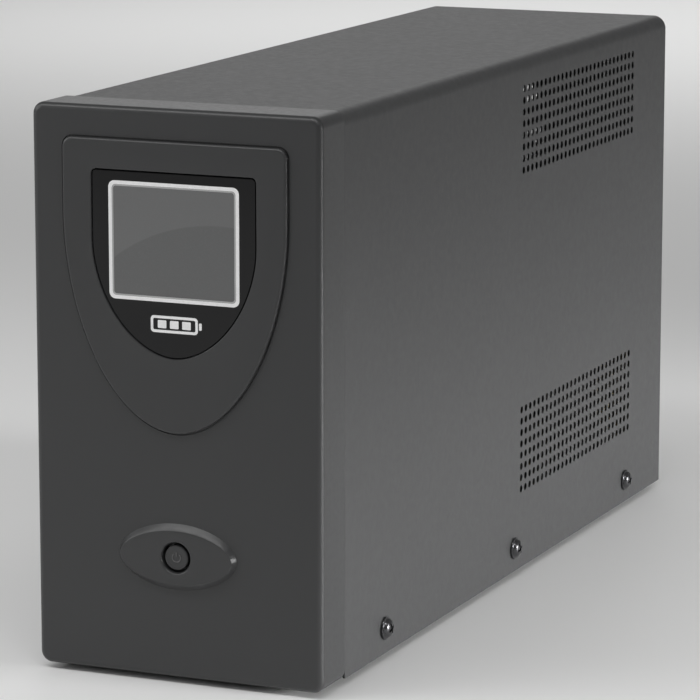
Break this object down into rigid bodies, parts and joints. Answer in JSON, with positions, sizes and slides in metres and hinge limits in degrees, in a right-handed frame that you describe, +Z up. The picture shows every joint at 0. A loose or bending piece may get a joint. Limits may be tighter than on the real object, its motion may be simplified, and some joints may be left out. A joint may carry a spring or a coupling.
{
  "type": "uninterruptible power supply",
  "caption": "Tower battery-backup unit: steel case with punched vents, moulded front with a display and a power button, and mains outlets and a fan at the rear.",
  "frame": {"origin": "on the floor, at the centre of the bounding box seen from above", "axes": "+Z up; the front with the display faces -Y and the outlets face +Y; +X is to the right when looking at the front"},
  "size_m": [0.1084, 0.35, 0.192],
  "materials": {
    "case_paint": "fine dark grey powder coat",
    "bezel_plastic": "dark charcoal plastic, finely spark-textured",
    "window_acrylic": "smoked acrylic, polished, with a clear field over the display",
    "lcd_glass": "grey liquid-crystal panel, unlit",
    "black_plastic": "black moulded plastic",
    "white_plastic": "natural white nylon",
    "circuit_board": "green solder mask",
    "zinc_steel": "zinc-plated sheet",
    "screw_steel": "black-oxide steel",
    "rubber": "black rubber",
    "battery_plastic": "dark grey ABS",
    "tinned_brass": "tinned",
    "core_steel": "varnished laminations",
    "winding_tape": "yellow polyester tape",
    "aluminium": "mill-finish extrusion",
    "red_pvc": "red insulation",
    "black_pvc": "black insulation",
    "grey_pvc": "grey insulation",
    "capacitor_sleeve": "dark blue shrink sleeve"
  },
  "bodies": {
    "root": {"ac_inlet": "black_plastic", "battery_case": "battery_plastic", "battery_clamp": "zinc_steel", "battery_lead_negative": "black_pvc", "battery_lead_positive": "red_pvc", "battery_lid": "battery_plastic", "battery_terminal_negative": "tinned_brass", "battery_terminal_positive": "tinned_brass", "board_shelf": "zinc_steel", "breaker_body": "black_plastic", "capacitor": "capacitor_sleeve", "chassis": "case_paint", "cover": "case_paint", "cover_screw_1": "screw_steel", "cover_screw_2": "screw_steel", "cover_screw_3": "screw_steel", "cover_screw_4": "screw_steel", "cover_screw_5": "screw_steel", "cover_screw_6": "screw_steel", "data_ports": "black_plastic", "display_board": "circuit_board", "display_cable": "grey_pvc", "display_window": "window_acrylic", "fan_frame": "black_plastic", "fan_guard": "zinc_steel", "fan_screw_1": "screw_steel", "fan_screw_2": "screw_steel", "fan_screw_3": "screw_steel", "fan_screw_4": "screw_steel", "foot_1": "rubber", "foot_2": "rubber", "foot_3": "rubber", "foot_4": "rubber", "front_bezel": "bezel_plastic", "heatsink_1": "aluminium", "heatsink_2": "aluminium", "lcd_backlight": "white_plastic", "lcd_panel": "lcd_glass", "main_board": "circuit_board", "outlet_1": "black_plastic", "outlet_2": "black_plastic", "outlet_3": "black_plastic", "outlet_4": "black_plastic", "relay": "black_plastic", "switch_body": "black_plastic", "transformer_angle_front": "zinc_steel", "transformer_angle_rear": "zinc_steel", "transformer_bobbin": "white_plastic", "transformer_bolt_1": "zinc_steel", "transformer_bolt_2": "zinc_steel", "transformer_bolt_3": "zinc_steel", "transformer_bolt_4": "zinc_steel", "transformer_core": "core_steel", "transformer_lead": "grey_pvc", "transformer_winding": "winding_tape", "usb_port": "zinc_steel"},
    "power_button": {"power_button": "bezel_plastic", "switch_plunger": "white_plastic"},
    "breaker_button": {"breaker_button": "white_plastic"},
    "fan_rotor": {"fan_rotor": "black_plastic"}
  },
  "joints": [
    {"name": "power_button_press", "type": "slide", "parent": "root", "child": "power_button", "axis": [0, 1, 0], "range_m": [0, 0.0012], "stiffness_N_per_m": 1200},
    {"name": "breaker_reset", "type": "slide", "parent": "root", "child": "breaker_button", "axis": [0, 1, 0], "range_m": [0, 0.004]},
    {"name": "fan_spin", "type": "hinge", "parent": "root", "child": "fan_rotor", "pos_m": [-0.0185, 0.1667, 0.1503], "axis": [0, 1, 0], "continuous": true}
  ]
}
